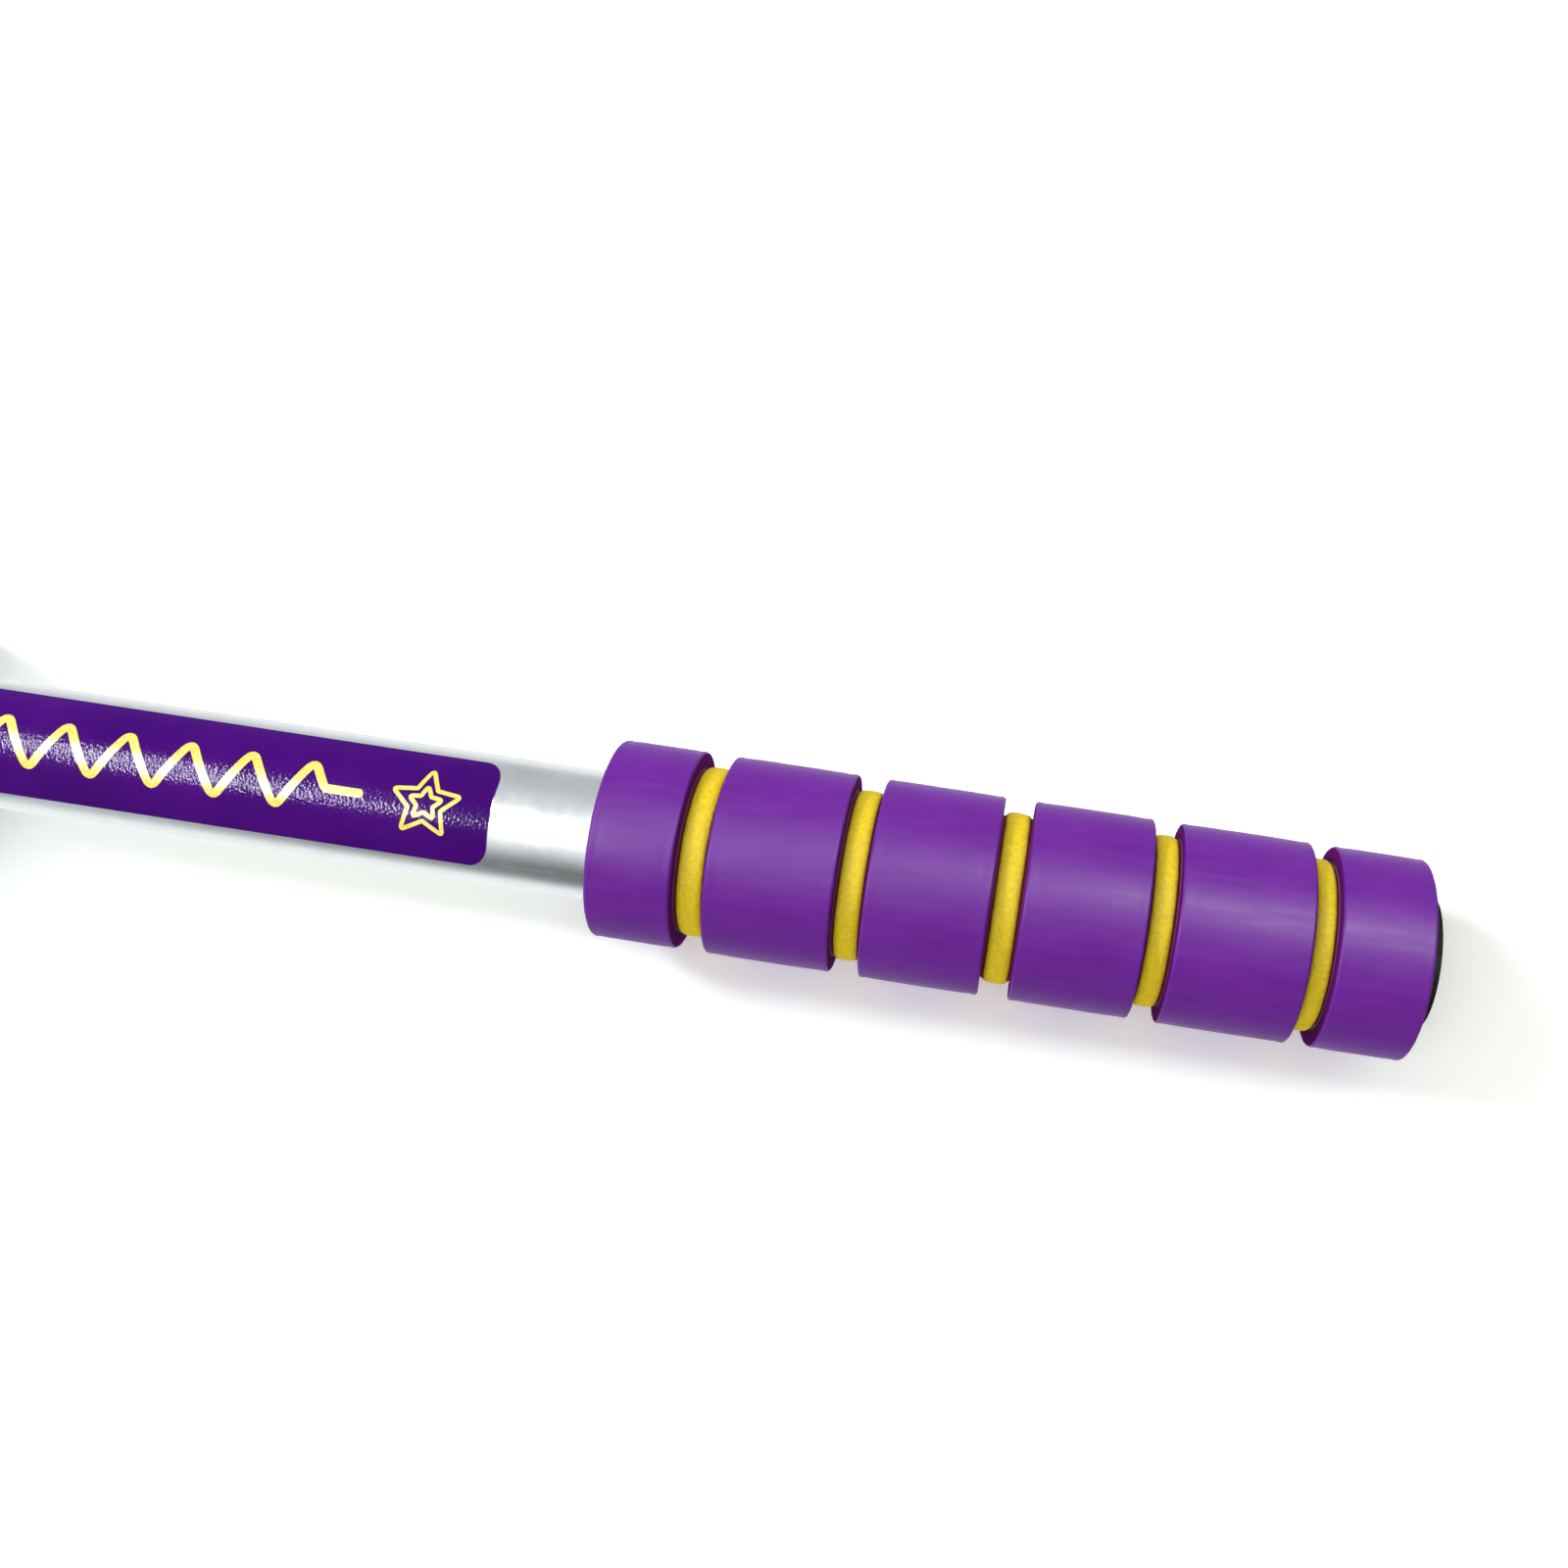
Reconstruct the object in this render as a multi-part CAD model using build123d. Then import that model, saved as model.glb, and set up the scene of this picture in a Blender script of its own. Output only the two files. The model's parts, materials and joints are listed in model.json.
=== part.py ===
"""A child's pogo stick with a T handlebar, one STEP per separate piece, in millimetres.

The stick stands upright: +Z runs up the column, +X is the rider's right, +Y is the way the rider faces,
and the origin is the centre of the rubber foot's sole, on the ground.
"""

from build123d import *
from math import asin, cos, radians, sin
import os

# ---- driving dimensions ------------------------------------------------------------------------------
COLUMN_D = 32.0
COLUMN_WALL = 1.5
BAR_D = 19.0
BAR_WALL = 1.5
BAR_Z = 925.0
GRIP_INNER_X = 120.0
GRIP_LENGTH = 117.1
GRIP_D = 29.1
PLUNGER_D = 22.0
PLUNGER_WALL = 2.0
STROKE = 85.0
STROKE_SPARE = 6.0
FOOT_TOP = 54.0
BUSHING_FLANGE = 5.0
PEG_Z = 186.0
PEG_END_X = 125.0

# ---- sizes worked out from them ----------------------------------------------------------------------
COLUMN_R = COLUMN_D / 2
COLUMN_BORE_R = COLUMN_R - COLUMN_WALL
COLUMN_BOTTOM = FOOT_TOP + STROKE + STROKE_SPARE + BUSHING_FLANGE
COLUMN_TOP = BAR_Z + BAR_D / 2 + 6.0
BAR_R = BAR_D / 2
BAR_BORE_R = BAR_R - BAR_WALL
BAR_END_X = GRIP_INNER_X + GRIP_LENGTH
GRIP_R = GRIP_D / 2
PLUNGER_R = PLUNGER_D / 2

# ---- grips: a yellow foam sleeve that shows in the gaps between six purple foam bands -----------------
GROOVES = 5
GROOVE_WIDTH = 3.9
GROOVE_PITCH = 21.92
GRIP_CORE_R = 12.5
GRIP_EDGE = 0.9
GRIP_GROOVE_EDGE = 0.3
FIRST_GROOVE = (GRIP_LENGTH - (GROOVES - 1) * GROOVE_PITCH) / 2

# ---- labels: thin vinyl wrapped on the front of the handlebar -----------------------------------------
LABEL_THICKNESS = 0.2
LABEL_HALF_ANGLE = 52.0
LABEL_START_X = 22.5
LABEL_END_X = 104.5
LABEL_CORNER = 2.8

# ---- end plugs and column cap -------------------------------------------------------------------------
PLUG_HEAD = 2.0
PLUG_DOME = 1.2
PLUG_DEPTH = 16.0
PLUG_STEM_R = BAR_BORE_R - 1.0
PLUG_WALL = 1.6
PLUG_RIBS = 3
PLUG_RIB = 1.5
PLUG_RIB_PITCH = 4.5
CAP_FLANGE = 2.0
CAP_DOME = 4.0
CAP_DEPTH = 4.6
CAP_WALL = 2.5

# ---- plunger guide and spring, from the bottom up -----------------------------------------------------
RUNNING_GAP = 0.08
BUSHING_FLANGE_R = 18.5
BUSHING_RIM = 1.5
BUSHING_TOP = COLUMN_BOTTOM + 35.0
BUMPER_R = 14.2
BUMPER_BORE_R = PLUNGER_R + 0.5
BUMPER_HEIGHT = 10.0
BUMPER_TOP = BUSHING_TOP + BUMPER_HEIGHT
PISTON_BOTTOM = BUMPER_TOP + 0.3
PISTON_HEIGHT = 26.0
PISTON_TOP = PISTON_BOTTOM + PISTON_HEIGHT
PISTON_R = 14.2
PISTON_SPIGOT_R = 8.8
PISTON_SPIGOT = 12.0
PLUNGER_TOP = PISTON_TOP - 6.0
PISTON_PIN_R = 2.5
PISTON_PIN_REACH = PISTON_R - 0.6
PISTON_PIN_Z = PISTON_BOTTOM + 11.0
SEAT_BOTTOM = PISTON_TOP
SEAT_THICKNESS = 3.0
SEAT_R = 14.1
SEAT_HOLE_R = PISTON_SPIGOT_R + 0.3
WIRE_D = 4.5
SPRING_R = 11.4
SPRING_TURNS = 38
SPRING_LENGTH = 300.0
SPRING_GAP = 0.4
SPRING_BOTTOM = SEAT_BOTTOM + SEAT_THICKNESS + SPRING_GAP
STOP_BOTTOM = SPRING_BOTTOM + SPRING_LENGTH + SPRING_GAP
STOP_HEIGHT = 24.0
STOP_R = COLUMN_BORE_R
STOP_SPIGOT_R = 8.6
STOP_SPIGOT = 12.0
STOP_BOLT_Z = STOP_BOTTOM + STOP_HEIGHT / 2

# ---- rubber foot ---------------------------------------------------------------------------------------
FOOT_SOLE_R = 25.0
FOOT_NECK_R = 15.5
FOOT_SOLE_HEIGHT = 14.0
FOOT_EDGE = 4.0
FOOT_BEVEL = 2.5
FOOT_FLARE_R = FOOT_NECK_R + 1.6
FOOT_FLARE_Z = FOOT_SOLE_HEIGHT + 9.0
FOOT_BEAD_SLOPE = 1.2
FOOT_BEAD_BEVEL = 1.5
FOOT_BEAD_R = 17.0
FOOT_BEAD = 7.0
SHAFT_SEAT_Z = 18.0
WASHER_R = 13.0
WASHER_THICKNESS = 2.0
TREAD_DEPTH = 2.0
TREAD_GROOVE_RADII = (9.0, 15.0, 21.0)
TREAD_GROOVE_WIDTH = 1.8
TREAD_SLOTS = 8
TREAD_SLOT_START = 10.5

# ---- pegs and footrests --------------------------------------------------------------------------------
COLLAR_R = 19.0
COLLAR_HEIGHT = 60.0
GUSSET_THICKNESS = 3.0
GUSSET_REACH = 34.0
GUSSET_FOOT_Z = 157.0
GUSSET_TOE = 2.5
GUSSET_TIP = 1.5
REST_START_X = 36.0
REST_END_X = 129.0
REST_WIDTH = 58.0
REST_TOP = PEG_Z + 17.0
REST_PLATE = 4.0
REST_SKIRT_Z = PEG_Z - 8.0
REST_WALL = 3.0
REST_CORNER = 13.0
REST_SLEEVE_R = 12.6
REST_SLEEVE_END_X = REST_END_X - 0.5
REST_LIP = 8.0
REST_LIP_LENGTH = 7.0
REST_EDGE = 1.5
REST_LIP_EDGE = 2.0
REST_RIB = 2.2
REST_RIB_BOTTOM = REST_SKIRT_Z + 4.0
REST_RIB_XS = (52.0, 67.0, 97.0, 112.0)
PAD_RECESS = 2.0
PAD_START_X = 44.0
PAD_END_X = 118.0
PAD_WIDTH = 46.0
PAD_CORNER = 8.0
PAD_RIDGE = 1.4
PAD_RIDGE_WIDTH = 3.2
PAD_RIDGES = 9
PAD_MARGIN = 2.0
PAD_END_MARGIN = 4.5
REST_BOLT_X = 82.0

# ---- fasteners -----------------------------------------------------------------------------------------
M6_R, M6_HEAD_R, M6_HEAD = 3.0, 5.4, 3.6
M6_NUT_ACROSS, M6_NUT_HEIGHT = 10.0, 5.0
M6_END = 1.5
M6_WASHER_R, M6_WASHER = 6.2, 1.2
M5_R, M5_HEAD_R, M5_HEAD = 2.5, 4.7, 3.0
M5_NUT_ACROSS, M5_NUT_HEIGHT = 8.0, 4.0
SCREW_R, SCREW_HEAD_R, SCREW_HEAD = 2.1, 4.0, 2.4
SCREW_Z = COLUMN_BOTTOM + 16.0
SCREW_TIP_Y = 11.8
HEX_SOCKET_ACROSS, HEX_SOCKET_DEPTH = 4.0, 2.0

WELD = 2.2


def rod_x(radius, start, end, z):
    """A solid cylinder along X at height z."""
    across = Cylinder(radius, end - start, align=(Align.CENTER, Align.CENTER, Align.MIN))
    return Pos(start, 0, z) * Rot(0, 90, 0) * across


def rod_y(radius, start, end, z, x=0.0):
    """A solid cylinder along Y at height z."""
    across = Cylinder(radius, end - start, align=(Align.CENTER, Align.CENTER, Align.MIN))
    return Pos(x, start, z) * Rot(-90, 0, 0) * across


def rod_z(radius, bottom, top, x=0.0):
    """A solid cylinder along Z."""
    upright = Cylinder(radius, top - bottom, align=(Align.CENTER, Align.CENTER, Align.MIN))
    return Pos(x, 0, bottom) * upright


def turned(*outline):
    """A solid of revolution about Z, from one closed outline of edges drawn as (radius, 0, height)."""
    return revolve(make_face(Curve() + list(outline)), Axis.Z)


def turned_steps(*points):
    """A solid of revolution about Z, from straight (radius, height) steps."""
    return turned(Polyline(*[(r, 0, z) for r, z in points], close=True))


def crown(radius, base, height):
    """The edge of a shallow spherical dome, from its rim at a base height to its middle."""
    sphere = (radius**2 + height**2) / (2 * height)
    half = asin(radius / sphere) / 2
    middle = (sphere * sin(half), 0, base + height - sphere * (1 - cos(half)))
    return ThreePointArc((radius, 0, base), middle, (0, 0, base + height))


def plate(x_start, x_end, width, corner, bottom, top):
    """A rounded rectangle in X and Y, extruded from bottom to top."""
    outline = RectangleRounded(x_end - x_start, width, corner)
    return Pos((x_start + x_end) / 2, 0, bottom) * extrude(outline, top - bottom)


def other_side(shape):
    """The same piece on the rider's left."""
    return mirror(shape, Plane.YZ)


# ---- frame ---------------------------------------------------------------------------------------------
def column_tube():
    tube = rod_z(COLUMN_R, COLUMN_BOTTOM, COLUMN_TOP) - rod_z(COLUMN_BORE_R, COLUMN_BOTTOM, COLUMN_TOP)
    tube -= rod_x(BAR_R, -COLUMN_D, COLUMN_D, BAR_Z)
    tube -= rod_y(M6_R, -COLUMN_D, COLUMN_D, STOP_BOLT_Z)
    return tube - rod_y(SCREW_R, -COLUMN_D, COLUMN_D, SCREW_Z)


def handlebar_tube():
    return rod_x(BAR_R, -BAR_END_X, BAR_END_X, BAR_Z) - rod_x(BAR_BORE_R, -BAR_END_X, BAR_END_X, BAR_Z)


def weld_bead(across_r, upright_r, z, x_end):
    """The bead in the corner where a tube along X meets an upright tube, on the rider's right."""
    around_tube = rod_x(across_r + WELD, 0, x_end, z)
    around_upright = rod_z(upright_r + WELD, z - upright_r, z + upright_r)
    bead = (around_tube & around_upright) - rod_x(across_r, 0, x_end, z)
    return bead - rod_z(upright_r, z - 2 * upright_r, z + 2 * upright_r)


def handlebar_welds():
    bead = weld_bead(BAR_R, COLUMN_R, BAR_Z, COLUMN_D)
    return Compound(children=[*bead.solids(), *other_side(bead).solids()])


def column_cap():
    shoulder = COLUMN_TOP + CAP_FLANGE
    skirt = Polyline(
        (0, 0, shoulder + CAP_DOME),
        (0, 0, COLUMN_TOP),
        (COLUMN_BORE_R - CAP_WALL, 0, COLUMN_TOP),
        (COLUMN_BORE_R - CAP_WALL, 0, COLUMN_TOP - CAP_DEPTH),
        (COLUMN_BORE_R, 0, COLUMN_TOP - CAP_DEPTH),
        (COLUMN_BORE_R, 0, COLUMN_TOP),
        (COLUMN_R, 0, COLUMN_TOP),
        (COLUMN_R, 0, shoulder),
    )
    return turned(crown(COLUMN_R, shoulder, CAP_DOME), skirt)


# ---- handlebar -----------------------------------------------------------------------------------------
def groove_centres():
    """X of each groove's centre along the right grip."""
    return [GRIP_INNER_X + FIRST_GROOVE + i * GROOVE_PITCH for i in range(GROOVES)]


def grip_core():
    core = rod_x(GRIP_CORE_R, GRIP_INNER_X, BAR_END_X, BAR_Z)
    return core - rod_x(BAR_R, GRIP_INNER_X, BAR_END_X, BAR_Z)


def grip_bands():
    """Six purple foam bands, with a groove between each and the next."""
    sleeve = rod_x(GRIP_R, GRIP_INNER_X, BAR_END_X, BAR_Z)
    sleeve = fillet(sleeve.edges().filter_by(GeomType.CIRCLE), GRIP_EDGE)
    for centre in groove_centres():
        sleeve -= rod_x(GRIP_D, centre - GROOVE_WIDTH / 2, centre + GROOVE_WIDTH / 2, BAR_Z)
    lips = sleeve.edges().filter_by(GeomType.CIRCLE).filter_by(lambda edge: edge.radius > GRIP_R - 0.01)
    lips = lips.filter_by_position(Axis.X, GRIP_INNER_X + FIRST_GROOVE / 2, BAR_END_X - FIRST_GROOVE / 2)
    sleeve = fillet(lips, GRIP_GROOVE_EDGE)
    sleeve -= rod_x(GRIP_CORE_R, GRIP_INNER_X, BAR_END_X, BAR_Z)
    return Compound(children=sleeve.solids())


def end_plug():
    """The plastic plug in the handlebar's right end: a domed head and a ribbed stem in the tube."""
    head = turned(
        Line((BAR_R, 0, 0), (BAR_R, 0, PLUG_HEAD)),
        crown(BAR_R, PLUG_HEAD, PLUG_DOME),
        Polyline((0, 0, PLUG_HEAD + PLUG_DOME), (0, 0, 0), (BAR_R, 0, 0)),
    )
    stem = rod_z(PLUG_STEM_R, -PLUG_DEPTH, 0)
    for i in range(1, PLUG_RIBS + 1):
        rib_bottom = -i * PLUG_RIB_PITCH
        stem += rod_z(BAR_BORE_R, rib_bottom, rib_bottom + PLUG_RIB)
    plug = head + stem - rod_z(PLUG_STEM_R - PLUG_WALL, -PLUG_DEPTH, 0)
    return Pos(BAR_END_X, 0, BAR_Z) * Rot(0, 90, 0) * plug


def label():
    """The right label: a thin curved sheet with rounded corners on the bar's front, which faces -Y."""
    height = 2 * BAR_R * sin(radians(LABEL_HALF_ANGLE))
    length = LABEL_END_X - LABEL_START_X
    skin = rod_x(BAR_R + LABEL_THICKNESS, LABEL_START_X, LABEL_END_X, BAR_Z)
    skin -= rod_x(BAR_R, LABEL_START_X, LABEL_END_X, BAR_Z)
    cutter = extrude(RectangleRounded(length, height, LABEL_CORNER), BAR_D)
    return skin & Pos((LABEL_START_X + LABEL_END_X) / 2, 0, BAR_Z) * Rot(90, 0, 0) * cutter


# ---- plunger guide and spring --------------------------------------------------------------------------
def guide_bushing():
    """The nylon bushing pressed into the column's lower end, which the plunger slides in."""
    bush = turned_steps(
        (PLUNGER_R + RUNNING_GAP, COLUMN_BOTTOM - BUSHING_FLANGE),
        (BUSHING_FLANGE_R, COLUMN_BOTTOM - BUSHING_FLANGE),
        (BUSHING_FLANGE_R, COLUMN_BOTTOM),
        (COLUMN_BORE_R, COLUMN_BOTTOM),
        (COLUMN_BORE_R, BUSHING_TOP),
        (PLUNGER_R + RUNNING_GAP, BUSHING_TOP),
    )
    rim = bush.edges().filter_by(GeomType.CIRCLE).sort_by(Axis.Z)[0:2].sort_by(SortBy.RADIUS)[-1]
    return fillet(rim, BUSHING_RIM) - rod_y(SCREW_R, -COLUMN_D, COLUMN_D, SCREW_Z)


def rebound_bumper():
    """The rubber ring that the piston lands on when the plunger comes back down."""
    return rod_z(BUMPER_R, BUSHING_TOP, BUMPER_TOP) - rod_z(BUMPER_BORE_R, BUSHING_TOP, BUMPER_TOP)


def spring_stop():
    """The plug that the spring pushes up against, with a spigot in the spring's top coils."""
    plug = rod_z(STOP_R, STOP_BOTTOM, STOP_BOTTOM + STOP_HEIGHT)
    plug += rod_z(STOP_SPIGOT_R, STOP_BOTTOM - STOP_SPIGOT, STOP_BOTTOM)
    return plug - rod_y(M6_R, -COLUMN_D, COLUMN_D, STOP_BOLT_Z)


def main_spring():
    """The compression spring of round wire, at its fitted length."""
    rise = SPRING_LENGTH - WIRE_D
    path = Helix(rise / SPRING_TURNS, rise, SPRING_R)
    wire = sweep(Plane(path @ 0, z_dir=path % 0) * Circle(WIRE_D / 2), path, is_frenet=True)
    return Pos(0, 0, SPRING_BOTTOM + WIRE_D / 2) * wire


def spring_seat():
    """The loose steel washer that lets the plunger turn under the spring."""
    top = SEAT_BOTTOM + SEAT_THICKNESS
    return rod_z(SEAT_R, SEAT_BOTTOM, top) - rod_z(SEAT_HOLE_R, SEAT_BOTTOM, top)


# ---- plunger -------------------------------------------------------------------------------------------
def plunger_tube():
    tube = rod_z(PLUNGER_R, SHAFT_SEAT_Z, PLUNGER_TOP)
    tube -= rod_z(PLUNGER_R - PLUNGER_WALL, SHAFT_SEAT_Z, PLUNGER_TOP)
    return tube - rod_y(PISTON_PIN_R, -COLUMN_D, COLUMN_D, PISTON_PIN_Z)


def piston():
    """The guide piston pinned on the plunger's top, with a spigot that centres the spring."""
    head = rod_z(PISTON_R, PISTON_BOTTOM, PISTON_TOP)
    head += rod_z(PISTON_SPIGOT_R, PISTON_TOP, PISTON_TOP + PISTON_SPIGOT)
    head -= rod_z(PLUNGER_R, PISTON_BOTTOM, PLUNGER_TOP)
    return head - rod_y(PISTON_PIN_R, -COLUMN_D, COLUMN_D, PISTON_PIN_Z)


def piston_pin():
    return rod_y(PISTON_PIN_R, -PISTON_PIN_REACH, PISTON_PIN_REACH, PISTON_PIN_Z)


def foot_washer():
    return rod_z(WASHER_R, SHAFT_SEAT_Z - WASHER_THICKNESS, SHAFT_SEAT_Z)


def foot_tip():
    """The rubber foot, moulded round the washer, with a treaded sole."""
    waist_z = FOOT_TOP - FOOT_BEAD
    edge_x, edge_z = FOOT_SOLE_R - FOOT_EDGE, FOOT_SOLE_HEIGHT - FOOT_EDGE
    body = turned(
        Polyline(
            (0, 0, 0),
            (FOOT_SOLE_R - FOOT_BEVEL, 0, 0),
            (FOOT_SOLE_R, 0, FOOT_BEVEL),
            (FOOT_SOLE_R, 0, FOOT_SOLE_HEIGHT - FOOT_EDGE),
        ),
        ThreePointArc(
            (FOOT_SOLE_R, 0, FOOT_SOLE_HEIGHT - FOOT_EDGE),
            (edge_x + FOOT_EDGE * cos(radians(45)), 0, edge_z + FOOT_EDGE * sin(radians(45))),
            (edge_x, 0, FOOT_SOLE_HEIGHT),
        ),
        ThreePointArc(
            (edge_x, 0, FOOT_SOLE_HEIGHT),
            (FOOT_FLARE_R, 0, FOOT_FLARE_Z),
            (FOOT_NECK_R, 0, waist_z),
        ),
        Polyline(
            (FOOT_NECK_R, 0, waist_z),
            (FOOT_BEAD_R, 0, waist_z + FOOT_BEAD_SLOPE),
            (FOOT_BEAD_R, 0, FOOT_TOP - FOOT_BEAD_BEVEL),
            (FOOT_BEAD_R - FOOT_BEAD_BEVEL, 0, FOOT_TOP),
            (0, 0, FOOT_TOP),
            (0, 0, 0),
        ),
    )
    body -= rod_z(PLUNGER_R, SHAFT_SEAT_Z, FOOT_TOP)
    body -= rod_z(WASHER_R, SHAFT_SEAT_Z - WASHER_THICKNESS, SHAFT_SEAT_Z)
    for radius in TREAD_GROOVE_RADII:
        outer, inner = radius + TREAD_GROOVE_WIDTH / 2, radius - TREAD_GROOVE_WIDTH / 2
        body -= rod_z(outer, 0, TREAD_DEPTH) - rod_z(inner, 0, TREAD_DEPTH)
    slot = Pos(TREAD_SLOT_START, 0, 0) * Box(
        FOOT_SOLE_R, TREAD_GROOVE_WIDTH, TREAD_DEPTH, align=(Align.MIN, Align.CENTER, Align.MIN)
    )
    for i in range(TREAD_SLOTS):
        body -= Rot(0, 0, 360 * i / TREAD_SLOTS) * slot
    return body


# ---- pegs and footrests --------------------------------------------------------------------------------
def peg_collar():
    """The sleeve welded round the column's lower end, which carries both pegs."""
    top = COLUMN_BOTTOM + COLLAR_HEIGHT
    collar = rod_z(COLLAR_R, COLUMN_BOTTOM, top) - rod_z(COLUMN_R, COLUMN_BOTTOM, top)
    return collar - rod_y(SCREW_R, -COLUMN_D, COLUMN_D, SCREW_Z)


def peg_tube():
    tube = rod_x(BAR_R, 0, PEG_END_X, PEG_Z) - rod_x(BAR_BORE_R, 0, PEG_END_X, PEG_Z)
    tube -= rod_z(COLLAR_R, PEG_Z - COLUMN_D, PEG_Z + COLUMN_D)
    return tube - rod_z(M5_R, PEG_Z - COLUMN_D, PEG_Z + COLUMN_D, REST_BOLT_X)


def peg_gusset():
    """The steel triangle under a peg, in the plane of both pegs."""
    outline = Polyline(
        (COLUMN_R, 0, GUSSET_FOOT_Z),
        (COLLAR_R + GUSSET_TOE, 0, GUSSET_FOOT_Z),
        (GUSSET_REACH, 0, PEG_Z - BAR_R - GUSSET_TIP),
        (GUSSET_REACH, 0, PEG_Z),
        (COLUMN_R, 0, PEG_Z),
        close=True,
    )
    gusset = extrude(make_face(outline), GUSSET_THICKNESS / 2, both=True)
    gusset -= rod_x(BAR_R, 0, PEG_END_X, PEG_Z)
    gusset -= rod_z(COLLAR_R, COLUMN_BOTTOM, COLUMN_BOTTOM + COLLAR_HEIGHT)
    return gusset.solids().sort_by(Axis.Z)[0]


def peg_welds():
    bead = weld_bead(BAR_R, COLLAR_R, PEG_Z, COLUMN_D)
    bead -= Pos(COLLAR_R, 0, PEG_Z - COLUMN_R) * Box(COLUMN_R, GUSSET_THICKNESS, COLUMN_D)
    return Compound(children=[*bead.solids(), *other_side(bead).solids()])


def footrest():
    """The moulded footrest on the right peg: a plate with a skirt, ribs below, a sleeve and an end lip."""
    shell = plate(REST_START_X, REST_END_X, REST_WIDTH, REST_CORNER, REST_SKIRT_Z, REST_TOP)
    hollow = plate(
        REST_START_X + REST_WALL,
        REST_END_X - REST_WALL,
        REST_WIDTH - 2 * REST_WALL,
        REST_CORNER - REST_WALL,
        REST_SKIRT_Z,
        REST_TOP - REST_PLATE,
    )
    rest = fillet(shell.faces().sort_by(Axis.Z)[-1].edges(), REST_EDGE) - hollow
    for x in REST_RIB_XS:
        rib = Box(REST_RIB, REST_WIDTH - REST_WALL, REST_TOP - REST_PLATE - REST_RIB_BOTTOM)
        rest += Pos(x, 0, (REST_TOP - REST_PLATE + REST_RIB_BOTTOM) / 2) * rib
    lip_bottom, lip_top = REST_TOP - REST_LIP_EDGE, REST_TOP + REST_LIP
    lip = plate(REST_START_X, REST_END_X, REST_WIDTH, REST_CORNER, lip_bottom, lip_top)
    lip = fillet(lip.faces().sort_by(Axis.Z)[-1].edges(), REST_LIP_EDGE)
    inner_x = REST_END_X - REST_LIP_LENGTH
    keep = Pos(inner_x, 0, REST_TOP) * Box(
        REST_CORNER * 2, REST_WIDTH, REST_LIP * 3, align=(Align.MIN, Align.CENTER, Align.CENTER)
    )
    rest += lip & keep
    rest += rod_x(REST_SLEEVE_R, REST_START_X, REST_SLEEVE_END_X, PEG_Z)
    rest -= rod_x(BAR_R, REST_START_X - 1.0, PEG_END_X, PEG_Z)
    rest -= plate(PAD_START_X, PAD_END_X, PAD_WIDTH, PAD_CORNER, REST_TOP - PAD_RECESS, REST_TOP)
    rest -= rod_z(M5_R, PEG_Z - COLUMN_D, REST_TOP, REST_BOLT_X)
    nut_pocket = extrude(RegularPolygon(M5_NUT_ACROSS / 2, 6, major_radius=False), M5_NUT_HEIGHT)
    return rest - Pos(REST_BOLT_X, 0, REST_TOP - PAD_RECESS - M5_NUT_HEIGHT) * nut_pocket


def tread_pad():
    """The ribbed rubber pad let into the footrest's top."""
    pad = plate(PAD_START_X, PAD_END_X, PAD_WIDTH, PAD_CORNER, REST_TOP - PAD_RECESS, REST_TOP)
    spacing = (PAD_END_X - PAD_START_X) / PAD_RIDGES
    for i in range(PAD_RIDGES):
        margin = PAD_END_MARGIN if i in (0, PAD_RIDGES - 1) else PAD_MARGIN
        ridge = extrude(SlotOverall(PAD_WIDTH - 2 * margin, PAD_RIDGE_WIDTH, rotation=90), PAD_RIDGE)
        pad += Pos(PAD_START_X + (i + 0.5) * spacing, 0, REST_TOP) * ridge
    return pad


# ---- fasteners -----------------------------------------------------------------------------------------
def domed_head(radius, height):
    """A button head on Z=0 that points up, with a hexagon socket."""
    head = turned(
        Line((0, 0, 0), (radius, 0, 0)),
        ThreePointArc((radius, 0, 0), (radius * 0.78, 0, height * 0.72), (radius * 0.4, 0, height)),
        Polyline((radius * 0.4, 0, height), (0, 0, height), (0, 0, 0)),
    )
    socket = extrude(RegularPolygon(HEX_SOCKET_ACROSS / 2, 6, major_radius=False), HEX_SOCKET_DEPTH)
    return head - Pos(0, 0, height - HEX_SOCKET_DEPTH) * socket


def hex_nut(across, height, bore_r):
    return extrude(RegularPolygon(across / 2, 6, major_radius=False), height) - rod_z(bore_r, 0, height)


def stop_bolt():
    """The bolt through the column and the spring stop, with its head at the front."""
    washer_face = COLUMN_R + M6_WASHER
    head = Pos(0, -washer_face, STOP_BOLT_Z) * Rot(90, 0, 0) * domed_head(M6_HEAD_R, M6_HEAD)
    return head + rod_y(M6_R, -washer_face, washer_face + M6_NUT_HEIGHT + M6_END, STOP_BOLT_Z)


def stop_nut():
    nut = hex_nut(M6_NUT_ACROSS, M6_NUT_HEIGHT, M6_R)
    return Pos(0, COLUMN_R + M6_WASHER, STOP_BOLT_Z) * Rot(-90, 0, 0) * nut


def stop_washers():
    """Saddle washers that fit the column's round front and back."""
    reach = COLUMN_R + M6_WASHER
    washers = []
    for start, end in ((-reach, 0), (0, reach)):
        washer = rod_y(M6_WASHER_R, start, end, STOP_BOLT_Z) - rod_y(M6_R, start, end, STOP_BOLT_Z)
        washer -= rod_z(COLUMN_R, STOP_BOLT_Z - COLUMN_R, STOP_BOLT_Z + COLUMN_R)
        washers.append(washer.solid())
    return Compound(children=washers)


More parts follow.
